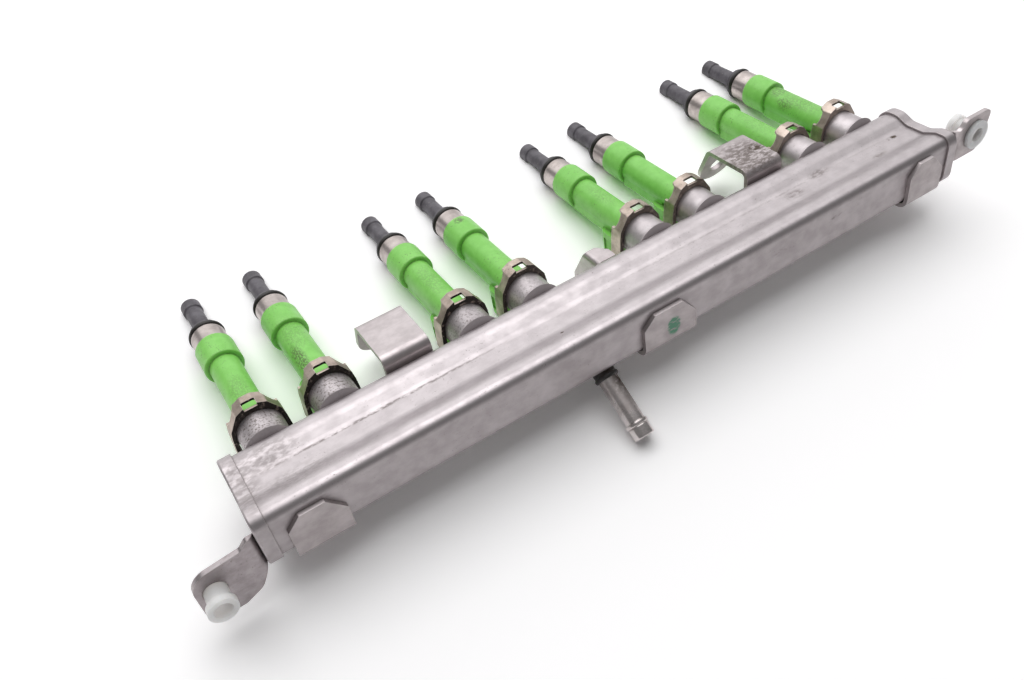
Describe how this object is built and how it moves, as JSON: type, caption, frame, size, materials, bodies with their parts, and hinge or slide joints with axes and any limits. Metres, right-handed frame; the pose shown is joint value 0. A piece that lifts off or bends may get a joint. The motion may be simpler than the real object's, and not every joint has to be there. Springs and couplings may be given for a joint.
{
  "type": "fuel rail",
  "caption": "Rectangular stamped steel fuel rail with paired green port injectors in clipped cups, mounting ears, hook brackets and a hose spigot.",
  "frame": {"origin": "middle of the injector row, on the plane where the injector collars seat in the engine", "axes": "+X along the rail to its higher ear, +Y along the injectors towards their tips, +Z out of the side opposite the connectors"},
  "size_m": [0.3597, 0.1545, 0.0477],
  "materials": {
    "rail_steel": "satin stamped steel with brown grime along its creases",
    "cup_steel": "grey satin steel with dirt specks",
    "clip_steel": "brownish spring steel, grimy inside",
    "injector_steel": "turned stainless steel, slightly tarnished",
    "green_plastic": "bright green glass-filled nylon with a soft gloss",
    "black_plastic": "sooty dark grey moulded plastic",
    "seal_rubber": "black fluoro rubber",
    "filter_plastic": "pale moulded mesh basket",
    "tinned_brass": "tinned blades",
    "bracket_steel": "mottled stamped steel with stains",
    "pipe_steel": "drawn steel tube with brown reflections",
    "black_braze": "dark sealed socket",
    "white_plastic": "milky white plastic with beige stains"
  },
  "bodies": {
    "root": {"rail_tube": "rail_steel", "end_cap_left": "rail_steel", "end_cap_right": "rail_steel", "injector_cup_1": "cup_steel", "injector_cup_2": "cup_steel", "injector_cup_3": "cup_steel", "injector_cup_4": "cup_steel", "injector_cup_5": "cup_steel", "injector_cup_6": "cup_steel", "injector_cup_7": "cup_steel", "injector_cup_8": "cup_steel", "injector_clip_1": "clip_steel", "injector_clip_2": "clip_steel", "injector_clip_3": "clip_steel", "injector_clip_4": "clip_steel", "injector_clip_5": "clip_steel", "injector_clip_6": "clip_steel", "injector_clip_7": "clip_steel", "injector_clip_8": "clip_steel", "injector_core_1": "injector_steel", "injector_core_2": "injector_steel", "injector_core_3": "injector_steel", "injector_core_4": "injector_steel", "injector_core_5": "injector_steel", "injector_core_6": "injector_steel", "injector_core_7": "injector_steel", "injector_core_8": "injector_steel", "injector_body_1": "green_plastic", "injector_body_2": "green_plastic", "injector_body_3": "green_plastic", "injector_body_4": "green_plastic", "injector_body_5": "green_plastic", "injector_body_6": "green_plastic", "injector_body_7": "green_plastic", "injector_body_8": "green_plastic", "nozzle_tip_1": "black_plastic", "nozzle_tip_2": "black_plastic", "nozzle_tip_3": "black_plastic", "nozzle_tip_4": "black_plastic", "nozzle_tip_5": "black_plastic", "nozzle_tip_6": "black_plastic", "nozzle_tip_7": "black_plastic", "nozzle_tip_8": "black_plastic", "lower_o_rings": "seal_rubber", "upper_o_rings": "seal_rubber", "inlet_filters": "filter_plastic", "terminals": "tinned_brass", "ear_bracket_left": "bracket_steel", "ear_bracket_right": "bracket_steel", "tab_plate_left": "bracket_steel", "tab_plate_right": "bracket_steel", "centre_bracket": "bracket_steel", "hook_bracket_left": "bracket_steel", "hook_bracket_right": "bracket_steel", "inlet_pipe": "pipe_steel", "pipe_socket": "black_braze", "bolt_bush_left": "white_plastic", "bolt_bush_right": "white_plastic"}
  },
  "joints": []
}
